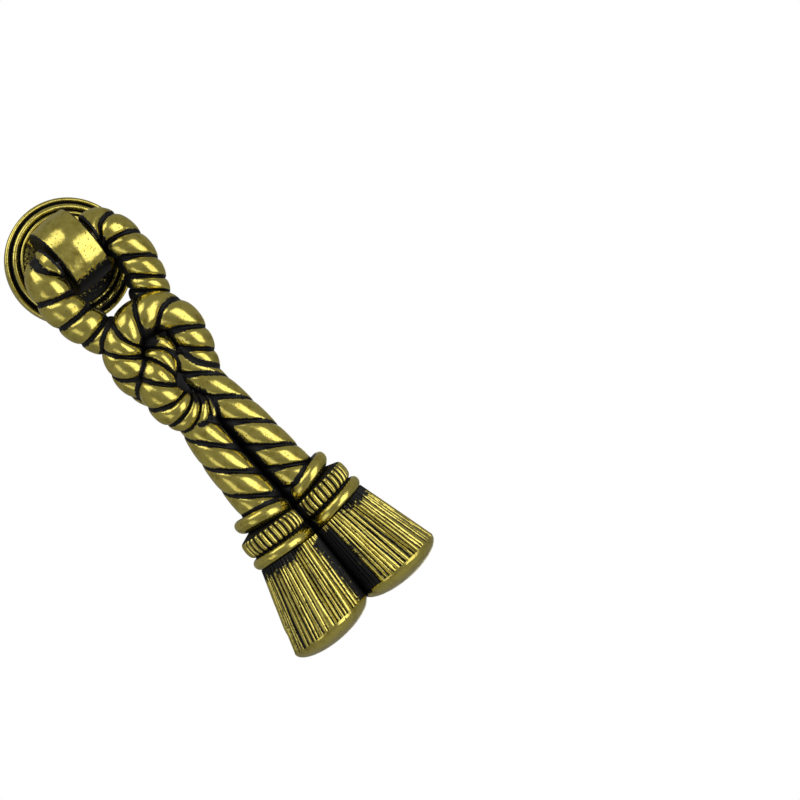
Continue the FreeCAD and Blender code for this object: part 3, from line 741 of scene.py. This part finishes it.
def seamPoints(mesh, sharpest):
    # points on edges where two faces meet in an inward corner sharper than the given angle
    points = meshPoints(mesh)
    loops, faces = len(mesh.loops), len(mesh.polygons)
    edgeOf, pointOf = np.zeros(loops, np.int64), np.zeros(loops, np.int64)
    mesh.loops.foreach_get("edge_index", edgeOf)
    mesh.loops.foreach_get("vertex_index", pointOf)
    sizes = np.zeros(faces, np.int64)
    mesh.polygons.foreach_get("loop_total", sizes)
    normal, middle = np.zeros(faces * 3), np.zeros(faces * 3)
    mesh.polygons.foreach_get("normal", normal)
    mesh.polygons.foreach_get("center", middle)
    normal, middle = normal.reshape(-1, 3), middle.reshape(-1, 3)
    faceOf = np.repeat(np.arange(faces), sizes)
    order = np.argsort(edgeOf, kind="stable")  # the skin is closed, so each edge comes twice
    one, two = faceOf[order[0::2]], faceOf[order[1::2]]
    inward = np.einsum("ij,ij->i", middle[two] - middle[one], normal[one]) > 0
    sharp = np.einsum("ij,ij->i", normal[one], normal[two]) < math.cos(math.radians(sharpest))
    return points[pointOf[order[0::2]][inward & sharp]]


def nearestWay(points, targets, block=4000):
    # distance from each point to the nearest target, a block of points at a time
    ways = []
    for start in range(0, len(points), block):
        part = points[start:start + block]
        square = (part ** 2).sum(axis=1)[:, None] + (targets ** 2).sum(axis=1) - 2 * part @ targets.T
        ways.append(np.sqrt(np.maximum(square.min(axis=1), 0)))
    return np.concatenate(ways)


def dropHollow(mesh, s):
    # black in the strands' grooves, along every seam between two runs, and round the pits of the knot; the
    # back is plain
    points = meshPoints(mesh)
    groove = meshValues(mesh, "groove")
    seams = seamPoints(mesh, s["seamAngle"])
    ownSeams = (seams[:, 2] > s["seamEnd"]) | (np.abs(seams[:, 0]) < s["seamHalf"])  # not the tassels' flutes
    seam = 1 - ramp(nearestWay(points, seams[ownSeams]), *s["seamReach"])
    way = np.min(np.linalg.norm(points[:, None, [0, 2]] - np.array(s["pits"]), axis=2), axis=1)
    pit = (1 - ramp(way, *s["pitReach"])) * (points[:, 1] < pinPlace[1])
    gain, loss = s["pitGain"]
    patina = np.maximum(np.maximum(groove * (1 + s["pitSpread"] * pit), seam), gain * pit - loss)
    print("seam points", np.count_nonzero(ownSeams))
    flatBack = points[:, 1] > pinPlace[1] + s["backPlane"] - touching
    return np.where(flatBack, s["backPatina"], np.clip(patina, 0, 1))


dropCasting = dropMesh(dropSet, webSet, tasselSet, pinSet)
finishPiece("tasselDrop", dropCasting, dropHollow(dropCasting, dropSet), brassFinish,
            "drop", "tassel_drop", sharpAngle=42)


# Stage: white backdrop across the line of sight, pale floor well below, grey room with soft boxes
stageSet = {
    "backdropGap": 600.0, "backdropHalf": 165.0, "floorHeight": -700.0, "floorHalf": 3000.0,
    "pale": "#E6E6E4", "room": "#868686", "roomStrength": 1.0, "whiteStrength": 1.0,
}


def sheetMesh(name, middle, right, up, half):
    # flat square: middle plus and minus the two directions
    corner = np.array([(-1, -1), (1, -1), (1, 1), (-1, 1)]) * half
    points = (np.asarray(middle, float) + corner[:, :1] * right + corner[:, 1:] * up) * millimetre
    mesh = bpy.data.meshes.new(name)
    mesh.from_pydata(points.tolist(), [], [(0, 1, 2, 3)])
    return mesh


def stagePaint(settings, white):
    # matt pale paint; the backdrop shows as plain white to the camera and in reflections
    material = bpy.data.materials.new("backdropPaint" if white else "floorPaint")
    material.use_nodes = True
    tree = material.node_tree
    tree.nodes.clear()
    pale = linearColour(settings["pale"])
    paint = addNode(tree, "ShaderNodeBsdfDiffuse", values={"Color": pale}).outputs[0]
    if white:
        ray = addNode(tree, "ShaderNodeLightPath").outputs
        seen = addNode(tree, "ShaderNodeMath", {"operation": "MAXIMUM"},
                       links={0: ray["Is Camera Ray"], 1: ray["Is Glossy Ray"]}).outputs[0]
        seen = addNode(tree, "ShaderNodeMath", {"operation": "MAXIMUM"},
                       links={0: seen, 1: ray["Is Transmission Ray"]}).outputs[0]
        glow = addNode(tree, "ShaderNodeEmission",
                       values={"Color": (1, 1, 1, 1), "Strength": settings["whiteStrength"]}).outputs[0]
        paint = addNode(tree, "ShaderNodeMixShader", links={0: seen, 1: paint, 2: glow}).outputs[0]
    addNode(tree, "ShaderNodeOutputMaterial", links={"Surface": paint})
    return material


def makeStage(settings):
    right, up, back = viewAxes(cameraSet)
    behind = np.array(cameraSet["aim"]) - settings["backdropGap"] * back
    backdrop = sheetMesh("backdrop", behind, right, up, settings["backdropHalf"])
    floor = sheetMesh("floor", (0, 0, settings["floorHeight"]), np.array([1.0, 0, 0]), np.array([0, 1.0, 0]),
                      settings["floorHalf"])
    for name, mesh, white in (("backdrop", backdrop, True), ("floor", floor, False)):
        mesh.materials.append(stagePaint(settings, white))
        sheet = bpy.data.objects.new(name, mesh)
        bpy.context.scene.collection.objects.link(sheet)
    world = bpy.data.worlds.new("room")
    bpy.context.scene.world = world
    world.use_nodes = True
    tree = world.node_tree
    tree.nodes.clear()
    room = addNode(tree, "ShaderNodeBackground",
                   values={"Color": linearColour(settings["room"]), "Strength": settings["roomStrength"]})
    addNode(tree, "ShaderNodeOutputWorld", links={"Surface": room.outputs[0]})


# Soft boxes round the pull's middle: (direction from it, distance in mm, width, height, radiance)
lampAim = (0.0, -8.0, -40.0)
softBoxes = {
    "rightBox": ((0.44, -0.835, -0.29), 450, 310, 640, 1.5),
    "topBox": ((-0.25, -0.45, 0.86), 500, 420, 300, 1.3),
    "leftBox": ((-0.85, -0.45, -0.2), 500, 200, 420, 0.7),
}


def lightStage(boxes):
    upright = np.array([0.0, 0.0, 1.0])
    for name, (direction, distance, wide, high, radiance) in boxes.items():
        data = bpy.data.lights.new(name, "AREA")
        data.shape = "RECTANGLE"
        data.size, data.size_y = wide * millimetre, high * millimetre
        data.energy = radiance * math.pi * data.size * data.size_y
        back = np.array(direction) / np.linalg.norm(direction)
        right = np.cross(upright, back)
        right /= np.linalg.norm(right)
        matrix = np.eye(4)
        matrix[:3, 0], matrix[:3, 1], matrix[:3, 2] = right, np.cross(back, right), back
        matrix[:3, 3] = (np.array(lampAim) + distance * back) * millimetre
        lamp = bpy.data.objects.new(name, data)
        lamp.matrix_world = Matrix(matrix.tolist())
        bpy.context.scene.collection.objects.link(lamp)


makeStage(stageSet)
lightStage(softBoxes)
bpy.context.scene.view_settings.view_transform = "Standard"
print("stage lit")
